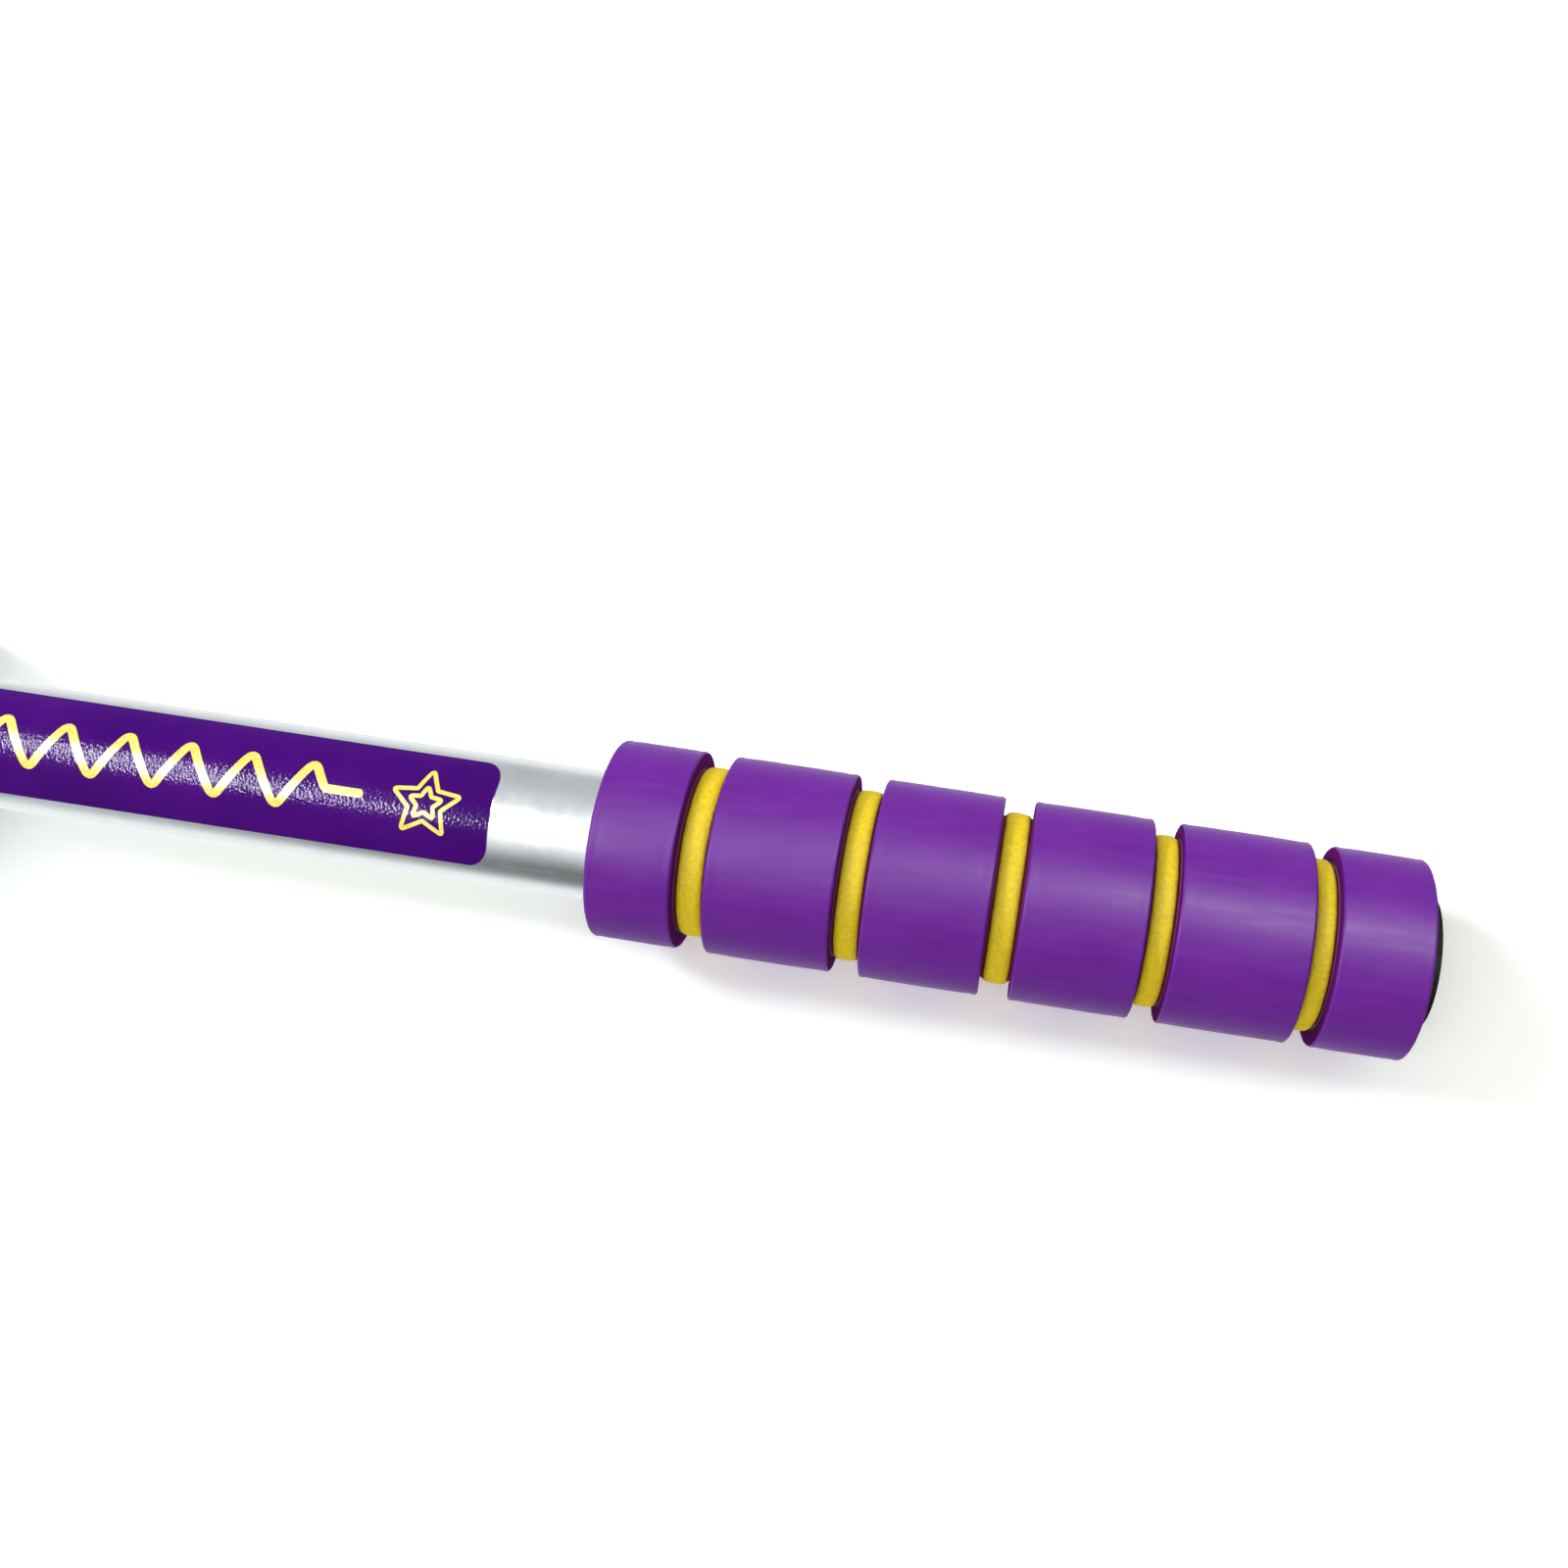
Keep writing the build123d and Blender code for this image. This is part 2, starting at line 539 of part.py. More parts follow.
def bushing_screws():
    """Two self-tapping screws through the collar and column into the bushing."""
    screws = []
    for turn in (0, 180):
        head = Pos(0, -COLLAR_R, SCREW_Z) * Rot(90, 0, 0) * domed_head(SCREW_HEAD_R, SCREW_HEAD)
        screw = head + rod_y(SCREW_R, -COLLAR_R, -SCREW_TIP_Y, SCREW_Z)
        seat = rod_y(SCREW_HEAD_R, -COLLAR_R, -COLUMN_R, SCREW_Z)
        screw += seat - rod_z(COLLAR_R, SCREW_Z - COLUMN_R, SCREW_Z + COLUMN_R)
        screws.append((Rot(0, 0, turn) * screw).solid())
    return Compound(children=screws)


def both_sides(piece):
    """One piece and its mirror image, as one group."""
    return Compound(children=[piece.solid(), other_side(piece).solid()])


def footrest_bolts():
    under = PEG_Z - REST_SLEEVE_R
    head = Pos(REST_BOLT_X, 0, under) * Rot(180, 0, 0) * domed_head(M5_HEAD_R, M5_HEAD)
    bolt = head + rod_z(M5_R, under, REST_TOP - PAD_RECESS, REST_BOLT_X)
    seat = rod_z(M5_HEAD_R, under, PEG_Z, REST_BOLT_X) - rod_x(REST_SLEEVE_R, 0, REST_END_X, PEG_Z)
    return both_sides(bolt + seat)


def footrest_nuts():
    nut = hex_nut(M5_NUT_ACROSS, M5_NUT_HEIGHT, M5_R)
    return both_sides(Pos(REST_BOLT_X, 0, REST_TOP - PAD_RECESS - M5_NUT_HEIGHT) * nut)


# ---- every piece under its node's name -----------------------------------------------------------------
def all_pieces():
    pieces = {
        "column_tube": column_tube(),
        "handlebar_tube": handlebar_tube(),
        "handlebar_welds": handlebar_welds(),
        "column_cap": column_cap(),
        "guide_bushing": guide_bushing(),
        "bushing_screws": bushing_screws(),
        "rebound_bumper": rebound_bumper(),
        "spring_stop": spring_stop(),
        "stop_bolt": stop_bolt(),
        "stop_nut": stop_nut(),
        "stop_washers": stop_washers(),
        "main_spring": main_spring(),
        "spring_seat": spring_seat(),
        "plunger_tube": plunger_tube(),
        "piston": piston(),
        "piston_pin": piston_pin(),
        "foot_washer": foot_washer(),
        "foot_tip": foot_tip(),
        "peg_collar": peg_collar(),
        "peg_welds": peg_welds(),
        "footrest_bolts": footrest_bolts(),
        "footrest_nuts": footrest_nuts(),
    }
    sided = {
        "grip_core": grip_core(),
        "grip_bands": grip_bands(),
        "end_plug": end_plug(),
        "label": label(),
        "peg_tube": peg_tube(),
        "peg_gusset": peg_gusset(),
        "footrest": footrest(),
        "tread_pad": tread_pad(),
    }
    for name, piece in sided.items():
        pieces["right_" + name] = piece
        pieces["left_" + name] = other_side(piece)
    return pieces


os.makedirs("parts", exist_ok=True)
for node, shape in all_pieces().items():
    export_step(shape, f"parts/{node}.step")
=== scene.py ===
import json
from math import ceil, cos, pi, radians, sin, sqrt, tan

import bpy
from mathutils import Matrix, Vector, noise


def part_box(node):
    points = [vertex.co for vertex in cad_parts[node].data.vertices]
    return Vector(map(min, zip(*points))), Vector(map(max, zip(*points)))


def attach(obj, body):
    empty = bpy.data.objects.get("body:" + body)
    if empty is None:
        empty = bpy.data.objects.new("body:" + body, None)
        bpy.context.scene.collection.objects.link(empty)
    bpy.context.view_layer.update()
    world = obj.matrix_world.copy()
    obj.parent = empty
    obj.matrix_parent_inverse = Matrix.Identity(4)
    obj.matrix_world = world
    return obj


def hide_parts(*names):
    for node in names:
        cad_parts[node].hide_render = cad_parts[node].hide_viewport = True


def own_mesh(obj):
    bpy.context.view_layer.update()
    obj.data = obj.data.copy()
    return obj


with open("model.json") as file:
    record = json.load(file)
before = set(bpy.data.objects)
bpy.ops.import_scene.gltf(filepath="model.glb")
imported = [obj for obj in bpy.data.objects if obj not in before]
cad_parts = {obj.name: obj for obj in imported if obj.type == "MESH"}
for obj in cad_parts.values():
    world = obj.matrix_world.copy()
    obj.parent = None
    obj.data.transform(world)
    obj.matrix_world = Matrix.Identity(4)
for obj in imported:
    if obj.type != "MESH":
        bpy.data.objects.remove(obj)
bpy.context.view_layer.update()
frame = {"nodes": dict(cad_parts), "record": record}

MM = 0.001
BODY = "frame"


def box(node):
    low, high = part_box(node)
    return Vector(low), Vector(high)


# ---- sizes read from the CAD ---------------------------------------------------------------------------
bands_low, bands_high = box("right_grip_bands")
core_low, core_high = box("right_grip_core")
bar_low, bar_high = box("handlebar_tube")
label_low, label_high = box("right_label")
column_low, column_high = box("column_tube")
spring_low, spring_high = box("main_spring")
collar_low, collar_high = box("peg_collar")
peg_low, peg_high = box("right_peg_tube")

BAR_Z = (bar_low.z + bar_high.z) / 2
BAR_R = (bar_high.z - bar_low.z) / 2
GRIP_R = (bands_high.z - bands_low.z) / 2
CORE_R = (core_high.z - core_low.z) / 2
GRIP_START, GRIP_END = bands_low.x, bands_high.x
COLUMN_R = (column_high.y - column_low.y) / 2
COLLAR_R = (collar_high.y - collar_low.y) / 2
PEG_Z = (peg_low.z + peg_high.z) / 2

# ---- grip ----------------------------------------------------------------------------------------------
# Each groove's shift from an even spacing, and its width, in mm: the knives that cut them wander a little.
GROOVE_CUTS = ((-0.27, 4.5), (0.27, 4.3), (0.0, 4.4), (-0.45, 4.0), (-0.05, 3.5))
GROOVE_PITCH = 21.92 * MM
BAND_CROWN = 0.12 * MM
BAND_CROWN_POWER = 6
BAND_ROUND = 0.45 * MM
BAND_END_ROUND = 0.55 * MM
BAND_WAVE = 0.05 * MM
BAND_OVERLAP = 0.1 * MM
BAND_STEPS = 22
CORNER_STEPS = 6
CORE_SINK = 0.7 * MM
CORE_WAVE = 0.06 * MM
CORE_CLEARANCE = 0.02 * MM
CORE_STEPS = 24
# Depths under the sleeve's outside where the painted shade beside each band begins and is full.
PAINTED_SHADE_STARTS = 0.32 * MM
PAINTED_SHADE_ENDS = 0.52 * MM
RING_SHARE = 0.84
GRIP_TURNS = 160

# Noise on the pieces' own points, in waves per metre.
SLOW_NOISE = 160.0
FINE_NOISE = 900.0
CORE_NOISE = 700.0
BEAD_NOISE = 300.0


# ---- mesh helpers --------------------------------------------------------------------------------------
def new_piece(name, verts, faces, body=BODY):
    """A smooth-shaded piece that rides on a body."""
    mesh = bpy.data.meshes.new(name)
    mesh.from_pydata([tuple(v) for v in verts], [], faces)
    mesh.update()
    mesh.shade_smooth()
    piece = bpy.data.objects.new(name, mesh)
    bpy.context.collection.objects.link(piece)
    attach(piece, body)
    return piece


def grid_faces(rows, columns, close_rows, close_columns, start=0):
    """Quads over a grid of points, numbered row by row."""
    faces = []
    for i in range(rows if close_rows else rows - 1):
        for j in range(columns if close_columns else columns - 1):
            a = start + i * columns + j
            b = start + i * columns + (j + 1) % columns
            c = start + (i + 1) % rows * columns + (j + 1) % columns
            d = start + (i + 1) % rows * columns + j
            faces.append((a, b, c, d))
    return faces


def lathe_x(profile, turns, wobble=None):
    """Points and quads of a closed profile of (x, radius), turned about the handlebar's axis."""
    verts = []
    for x, r in profile:
        for k in range(turns):
            angle = 2 * pi * k / turns
            point = Vector((x, r * cos(angle), BAR_Z + r * sin(angle)))
            verts.append(wobble(point, r) if wobble else point)
    return verts, grid_faces(len(profile), turns, True, True)


def arc(cx, cr, radius, start, end, steps):
    """Points of an arc in a (x, radius) profile, with its angles in degrees."""
    points = []
    for i in range(steps + 1):
        angle = radians(start + (end - start) * i / steps)
        points.append((cx + radius * cos(angle), cr + radius * sin(angle)))
    return points


def mirrored(verts, faces):
    """The same points on the rider's left, with the faces turned to keep looking out."""
    return [Vector((-v.x, v.y, v.z)) for v in verts], [tuple(reversed(f)) for f in faces]


def joined(shapes):
    """Several shapes' points and faces as one."""
    verts, faces = [], []
    for shape_verts, shape_faces in shapes:
        faces += [tuple(i + len(verts) for i in face) for face in shape_faces]
        verts += shape_verts
    return verts, faces


# ---- materials -----------------------------------------------------------------------------------------
def srgb(r, g, b):
    """A colour from 0 to 255 as the eye sees it, as Blender's linear colour."""
    def linear(c):
        c /= 255
        return c / 12.92 if c <= 0.04045 else ((c + 0.055) / 1.055) ** 2.4
    return (linear(r), linear(g), linear(b), 1.0)


class Nodes:
    """Short ways to fill a node tree. A value can be a plain one or another node's output."""

    def __init__(self, tree):
        self.tree = tree

    def node(self, kind, **settings):
        made = self.tree.nodes.new(kind)
        for key, value in settings.items():
            setattr(made, key, value)
        return made

    def feed(self, socket, value):
        if isinstance(value, bpy.types.NodeSocket):
            self.tree.links.new(value, socket)
        else:
            socket.default_value = value

    def filled(self, kind, inputs, **settings):
        """The first output of a new node, with the given inputs by name or number."""
        made = self.node(kind, **settings)
        for socket, value in inputs.items():
            self.feed(made.inputs[socket], value)
        return made.outputs[0]

    def remap(self, value, low, high, to_low=0.0, to_high=1.0, kind="LINEAR"):
        inputs = {"Value": value, "From Min": low, "From Max": high, "To Min": to_low, "To Max": to_high}
        return self.filled("ShaderNodeMapRange", inputs, interpolation_type=kind)

    def math(self, operation, a, b=0.0):
        return self.filled("ShaderNodeMath", {0: a, 1: b}, operation=operation)

    def apart(self, vector):
        """A vector's three numbers."""
        made = self.node("ShaderNodeSeparateXYZ")
        self.feed(made.inputs[0], vector)
        return made.outputs

    def length(self, vector):
        made = self.node("ShaderNodeVectorMath", operation="LENGTH")
        self.feed(made.inputs[0], vector)
        return made.outputs["Value"]

    def blend(self, factor, first, second):
        """A colour between two others."""
        made = self.node("ShaderNodeMix", data_type="RGBA")
        for socket, value in (("Factor", factor), ("A", first), ("B", second)):
            self.feed(made.inputs[socket], value)
        return made.outputs["Result"]

    def mix_shaders(self, factor, first, second):
        return self.filled("ShaderNodeMixShader", {0: factor, 1: first, 2: second})


class Material(Nodes):
    """A Principled material whose colour, roughness and bump come from noise on the piece's own points."""

    def __init__(self, name, roughness=0.5, metallic=0.0, **sockets):
        self.material = bpy.data.materials.new(name)
        self.material.use_nodes = True
        super().__init__(self.material.node_tree)
        self.shader = self.tree.nodes["Principled BSDF"]
        self.set(Roughness=roughness, Metallic=metallic, **sockets)
        coordinates = self.node("ShaderNodeTexCoord")
        self.place = coordinates.outputs["Object"]
        self.facing = coordinates.outputs["Normal"]
        self.last_bump = None

    def set(self, **sockets):
        """Feeds the shader's sockets, named with _ for each space."""
        for socket, value in sockets.items():
            self.feed(self.shader.inputs[socket.replace("_", " ")], value)

    def stretched(self, sx, sy, sz):
        """The piece's points, stretched along each axis."""
        return self.filled("ShaderNodeMapping", {"Vector": self.place, "Scale": (sx, sy, sz)})

    def noise(self, scale, detail=4.0, rough=0.5, place=None):
        made = self.node("ShaderNodeTexNoise")
        inputs = {"Vector": place or self.place, "Scale": scale, "Detail": detail, "Roughness": rough}
        for socket, value in inputs.items():
            self.feed(made.inputs[socket], value)
        return made.outputs["Fac"]

    def cells(self, scale):
        """Distance to the nearest of many random points: small pits or grains."""
        return self.filled("ShaderNodeTexVoronoi", {"Vector": self.place, "Scale": scale})

    def colour(self, value):
        self.set(Base_Color=value)

    def roughness(self, value):
        self.set(Roughness=value)

    def bump(self, height, distance, strength):
        """Adds a bump of the given depth in metres to those already there."""
        inputs = {"Height": height, "Distance": distance, "Strength": strength}
        if self.last_bump:
            inputs["Normal"] = self.last_bump
        self.last_bump = self.filled("ShaderNodeBump", inputs)
        self.set(Normal=self.last_bump)

    def put_on(self, piece):
        piece.data.materials.clear()
        piece.data.materials.append(self.material)


def purple_foam():
    """Smooth satin foam, faintly brushed along the bar; painted shade darkens and reddens its duller
    knife-cut ends.
    """
    m = Material("purple_foam", 0.5, Sheen_Roughness=0.3, Sheen_Tint=srgb(232, 222, 244))
    clouds = m.noise(90.0, 3.0)
    streaks = m.noise(1.0, 3.0, place=m.stretched(110.0, 900.0, 900.0))
    tone = m.math("ADD", m.math("MULTIPLY", clouds, 0.5), m.math("MULTIPLY", streaks, 0.5))
    skin = m.blend(m.remap(tone, 0.35, 0.65), srgb(100, 22, 143), srgb(110, 31, 154))
    # Faces across the bar, the knife-cut band ends: painted shade darkens and reddens them, and their gloss
    # and sheen drop.
    cut_and_painted_shade = m.remap(m.math("ABSOLUTE", m.apart(m.facing)["X"]), 0.72, 0.95)
    m.colour(m.blend(cut_and_painted_shade, skin, srgb(92, 12, 108)))
    m.set(Specular_IOR_Level=m.remap(cut_and_painted_shade, 0.0, 1.0, 0.12, 0.02))
    m.set(Sheen_Weight=m.remap(cut_and_painted_shade, 0.0, 1.0, 0.24, 0.0))
    m.roughness(m.math("MAXIMUM", m.remap(streaks, 0.3, 0.7, 0.42, 0.54), cut_and_painted_shade))
    m.bump(m.cells(2100.0), 0.03 * MM, 0.4)
    m.bump(streaks, 0.03 * MM, 0.4)
    return m


def yellow_foam():
    """Open yellow foam, with a dark maroon line of painted shade where it sinks in beside each band."""
    m = Material("yellow_foam", 0.7, Specular_IOR_Level=0.12)
    pits = m.cells(1500.0)
    grain = m.noise(1900.0, 3.0)
    skin = m.blend(m.remap(grain, 0.3, 0.7), srgb(236, 200, 18), srgb(252, 226, 34))
    across = {0: m.place, 1: (0.0, 1.0, 1.0), 2: (0.0, 0.0, -BAR_Z)}
    from_axis = m.filled("ShaderNodeVectorMath", across, operation="MULTIPLY_ADD")
    # Painted shade: the sleeve turns dark maroon where it sinks in beside the bands.
    sunk_painted_shade = m.remap(m.length(from_axis), CORE_R - PAINTED_SHADE_STARTS, CORE_R - PAINTED_SHADE_ENDS)
    m.colour(m.blend(sunk_painted_shade, skin, srgb(126, 34, 58)))
    m.roughness(m.remap(grain, 0.3, 0.7, 0.6, 0.8))
    m.bump(pits, 0.06 * MM, 0.5)
    return m


def zinc_steel():
    m = Material("zinc_steel", 0.16, 1.0)
    mottle = m.noise(240.0, 5.0, 0.65)
    clouds = m.noise(45.0, 3.0)
    drawn = m.noise(1.0, 2.0, place=m.stretched(40.0, 900.0, 900.0))
    tone = m.math("ADD", m.math("MULTIPLY", mottle, 0.6), m.math("MULTIPLY", clouds, 0.4))
    m.colour(m.blend(m.remap(tone, 0.35, 0.65), srgb(222, 229, 233), srgb(238, 242, 244)))
    m.roughness(m.remap(tone, 0.3, 0.7, 0.13, 0.21))
    m.bump(mottle, 0.012 * MM, 0.2)
    m.bump(drawn, 0.008 * MM, 0.2)
    return m


def upright_steel():
    """The same plated steel on tubes that stand upright, where the drawing lines run along Z."""
    m = Material("upright_steel", 0.18, 1.0)
    mottle = m.noise(260.0, 5.0, 0.6)
    drawn = m.noise(1.0, 2.0, place=m.stretched(900.0, 900.0, 25.0))
    m.colour(m.blend(m.remap(mottle, 0.35, 0.65), srgb(220, 226, 230), srgb(236, 240, 242)))
    m.roughness(m.remap(mottle, 0.3, 0.7, 0.15, 0.23))
    m.bump(mottle, 0.012 * MM, 0.2)
    m.bump(drawn, 0.008 * MM, 0.25)
    return m


def weld_steel():
    m = Material("weld_steel", 0.34, 1.0)
    heat = m.noise(260.0, 4.0)
    m.colour(m.blend(m.remap(heat, 0.35, 0.65), srgb(168, 170, 170), srgb(214, 212, 204)))
    m.roughness(m.remap(heat, 0.3, 0.7, 0.28, 0.45))
    m.bump(m.noise(1400.0, 3.0), 0.05 * MM, 0.4)
    return m


def fastener_steel():
    m = Material("fastener_steel", 0.26, 1.0)
    tone = m.noise(500.0, 4.0)
    m.colour(m.blend(m.remap(tone, 0.35, 0.65), srgb(190, 194, 196), srgb(226, 226, 220)))
    m.roughness(m.remap(tone, 0.3, 0.7, 0.2, 0.36))
    m.bump(m.noise(2400.0, 2.0), 0.01 * MM, 0.3)
    return m


def spring_steel():
    m = Material("spring_steel", 0.32, 1.0)
    tone = m.noise(420.0, 4.0)
    m.colour(m.blend(m.remap(tone, 0.35, 0.65), srgb(70, 72, 78), srgb(112, 112, 114)))
    m.roughness(m.remap(tone, 0.3, 0.7, 0.25, 0.42))
    m.bump(m.noise(1600.0, 2.0), 0.02 * MM, 0.3)
    return m


def black_plastic():
    m = Material("black_plastic", 0.7, Specular_IOR_Level=0.12)
    grain = m.noise(3200.0, 2.0)
    m.colour(m.blend(m.remap(grain, 0.3, 0.7), srgb(6, 5, 8), srgb(14, 13, 16)))
    m.roughness(m.remap(m.noise(300.0), 0.3, 0.7, 0.6, 0.8))
    m.bump(grain, 0.02 * MM, 0.4)
    return m


def grey_plastic():
    m = Material("grey_plastic", 0.45)
    grain = m.noise(2200.0, 2.0)
    m.colour(m.blend(m.remap(m.noise(260.0), 0.3, 0.7), srgb(190, 190, 182), srgb(206, 205, 196)))
    m.roughness(m.remap(grain, 0.3, 0.7, 0.4, 0.52))
    m.bump(grain, 0.01 * MM, 0.4)
    return m


def black_rubber():
    m = Material("black_rubber", 0.68, Specular_IOR_Level=0.4)
    dust = m.noise(120.0, 5.0, 0.6)
    m.colour(m.blend(m.remap(dust, 0.4, 0.75), srgb(27, 27, 29), srgb(46, 45, 46)))
    m.roughness(m.remap(m.noise(900.0), 0.3, 0.7, 0.58, 0.78))
    m.bump(m.noise(2600.0, 3.0), 0.04 * MM, 0.4)
    return m


def purple_plastic():
    m = Material("purple_plastic", 0.4)
    grain = m.cells(1300.0)
    m.colour(m.blend(m.remap(m.noise(60.0, 4.0), 0.35, 0.65), srgb(88, 24, 140), srgb(98, 30, 150)))
    m.roughness(m.remap(m.noise(500.0), 0.3, 0.7, 0.36, 0.48))
    m.bump(grain, 0.05 * MM, 0.35)
    return m


def yellow_rubber():
    m = Material("yellow_rubber", 0.55, Specular_IOR_Level=0.4)
    grain = m.noise(2400.0, 2.0)
    m.colour(m.blend(m.remap(m.noise(150.0, 4.0), 0.35, 0.65), srgb(232, 190, 20), srgb(246, 208, 38)))
    m.roughness(m.remap(grain, 0.3, 0.7, 0.5, 0.66))
    m.bump(grain, 0.03 * MM, 0.4)
    return m


def label_vinyl():
    m = Material("label_vinyl", 0.2, Specular_IOR_Level=0.05)
    fleck = m.noise(2600.0, 2.0)
    m.colour(m.blend(m.remap(m.noise(70.0, 3.0), 0.35, 0.65), srgb(63, 5, 110), srgb(75, 8, 122)))
    m.roughness(m.remap(fleck, 0.35, 0.65, 0.10, 0.18))
    m.bump(m.cells(2300.0), 0.03 * MM, 0.9)
    return m


def print_yellow():
    m = Material("print_yellow", 0.3, Specular_IOR_Level=0.25)
    fleck = m.noise(2400.0, 2.0)
    m.colour(m.blend(m.remap(fleck, 0.35, 0.65), srgb(246, 216, 84), srgb(252, 232, 120)))
    m.roughness(m.remap(fleck, 0.35, 0.65, 0.22, 0.34))
    return m


LOOKS = {
    "zinc_steel": zinc_steel(),
    "upright_steel": upright_steel(),
    "weld_steel": weld_steel(),
    "fastener_steel": fastener_steel(),
    "spring_steel": spring_steel(),
    "black_plastic": black_plastic(),
    "grey_plastic": grey_plastic(),
    "purple_plastic": purple_plastic(),
    "black_rubber": black_rubber(),
    "yellow_rubber": yellow_rubber(),
    "yellow_foam": yellow_foam(),
    "purple_foam": purple_foam(),
    "label_vinyl": label_vinyl(),
    "print_yellow": print_yellow(),
}
UPRIGHT_NODES = ("column_tube", "plunger_tube", "peg_collar")


# ---- CAD nodes that stay: each takes the look of its own slot --------------------------------------------
def dress_cad_nodes():
    slots = {part["node"]: part["material_slot"] for part in frame["record"]["subparts"]}
    for name, piece in frame["nodes"].items():
        look = "upright_steel" if name in UPRIGHT_NODES else slots[name]
        for slot in piece.material_slots:
            slot.material = LOOKS[look].material


# ---- foam grips ------------------------------------------------------------------------------------------
def band_spans():
    """Start and end of each purple band along the right grip."""
    first = (GRIP_START + GRIP_END) / 2 - (len(GROOVE_CUTS) - 1) / 2 * GROOVE_PITCH
    edges = [GRIP_START]
    for i, (shift, width) in enumerate(GROOVE_CUTS):
        centre = first + i * GROOVE_PITCH + shift * MM
        edges += [centre - width / 2 * MM, centre + width / 2 * MM]
    edges.append(GRIP_END)
    return list(zip(edges[0::2], edges[1::2]))


def foam_wobble(point, radius):
    """Cut foam is never quite true: a slow wave runs round each band, and a fine one along its edges."""
    slow = noise.noise(point * SLOW_NOISE)
    fine = noise.noise(point * FINE_NOISE)
    outward = Vector((0, point.y, point.z - BAR_Z)).normalized()
    share = (radius - CORE_R) / (GRIP_R - CORE_R)
    sideways = Vector((fine, 0, 0)) * BAND_WAVE * max(share, 0)
    return point + outward * BAND_WAVE * share * (0.8 * slow + 0.2 * fine) + sideways


def band_profile(start, end):
    """One band's closed outline: crowned outside, with its edges rounded more at the grip's two ends."""
    start_round = BAND_END_ROUND if start == GRIP_START else BAND_ROUND
    end_round = BAND_END_ROUND if end == GRIP_END else BAND_ROUND
    top = GRIP_R - BAND_WAVE
    inner = CORE_R - CORE_SINK - BAND_OVERLAP
    outline = arc(start + start_round, top - start_round, start_round, 180, 90, CORNER_STEPS)
    for i in range(1, BAND_STEPS):
        share = i / BAND_STEPS
        x = start + start_round + (end - start - start_round - end_round) * share
        outline.append((x, top - BAND_CROWN * (2 * share - 1) ** BAND_CROWN_POWER))
    outline += arc(end - end_round, top - end_round, end_round, 90, 0, CORNER_STEPS)
    outline += [(end, (top + inner) / 2), (end, inner), (start, inner), (start, (top + inner) / 2)]
    return outline[::-1]


def grip_bands():
    return joined(lathe_x(band_profile(start, end), GRIP_TURNS, foam_wobble) for start, end in band_spans())


def core_wobble(point, radius):
    """A fine wave on the sleeve's outside; its bore stays round."""
    if radius < BAR_R + 1 * MM:
        return point
    outward = Vector((0, point.y, point.z - BAR_Z)).normalized()
    return point + outward * CORE_WAVE * noise.noise(point * CORE_NOISE)


def grip_core():
    """The yellow sleeve: it swells a little in each groove, where no band holds it in."""
    spans = band_spans()
    bore = BAR_R + CORE_CLEARANCE
    low = CORE_R - CORE_SINK
    crown = CORE_R - CORE_WAVE
    outline = [(GRIP_START, bore), (GRIP_START, low)]
    for (_, groove_start), (groove_end, _) in zip(spans, spans[1:]):
        for i in range(CORE_STEPS + 1):
            share = min(abs(2 * i / CORE_STEPS - 1) / RING_SHARE, 1.0)
            x = groove_start + (groove_end - groove_start) * i / CORE_STEPS
            outline.append((x, low + (crown - low) * sqrt(1 - share ** 3)))
    outline += [(GRIP_END, low), (GRIP_END, bore)]
    return lathe_x(outline[::-1], GRIP_TURNS, core_wobble)


def add_grips():
    for node, maker, look in (
        ("grip_bands", grip_bands, "purple_foam"),
        ("grip_core", grip_core, "yellow_foam"),
    ):
        right = maker()
        for side, (verts, faces) in (("right", right), ("left", mirrored(*right))):
            piece = new_piece(f"{side}_{node}_foam", verts, faces)
            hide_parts(f"{side}_{node}")
            LOOKS[look].put_on(piece)


# ---- label print -----------------------------------------------------------------------------------------
PRINT_LIFT = 0.02 * MM
PRINT_STROKE = 1.25 * MM
PRINT_HEIGHT = 7.6 * MM
PRINT_STEP = 0.35 * MM
ZIGZAG_START = 3.0 * MM
ZIGZAG_STOP = 19.0 * MM
ZIGZAG_LEAD = 5.0 * MM
ZIGZAG_PEAKS = 11
ZIGZAG_ROUND = 0.9 * MM
STAR_STROKE = 0.62 * MM
STAR_STEP = 0.3 * MM
STAR_ROUND = 0.3 * MM
STAR_FROM_END = 9.4 * MM
STARS = ((5.2 * MM, 2.5 * MM), (2.6 * MM, 1.25 * MM))
ROUND_END_STEPS = 10
LABEL_R = -label_low.y
LABEL_LENGTH = label_high.x - label_low.x


def rounded_path(corners, radius, steps=6, closed=False):
    """A 2D path through corners, each rounded by a small arc."""
    path = []
    count = len(corners)
    for i, corner in enumerate(corners):
        here = Vector(corner)
        if not closed and i in (0, count - 1):
            path.append(here)
            continue
        before = Vector(corners[i - 1]) - here
        after = Vector(corners[(i + 1) % count]) - here
        half = before.angle(after) / 2
        reach = min(radius / tan(half), before.length * 0.45, after.length * 0.45)
        a, b = here + before.normalized() * reach, here + after.normalized() * reach
        for k in range(steps + 1):
            t = k / steps
            path.append(a * (1 - t) ** 2 + here * 2 * t * (1 - t) + b * t ** 2)
    return path


def dense(path, step, closed=False):
    """The same path with points no further apart than a step."""
    points = []
    ends = path[1:] + ([path[0]] if closed else [])
    for a, b in zip(path, ends):
        count = max(1, ceil((b - a).length / step))
        points += [a.lerp(b, k / count) for k in range(count)]
    if not closed:
        points.append(path[-1])
    return points


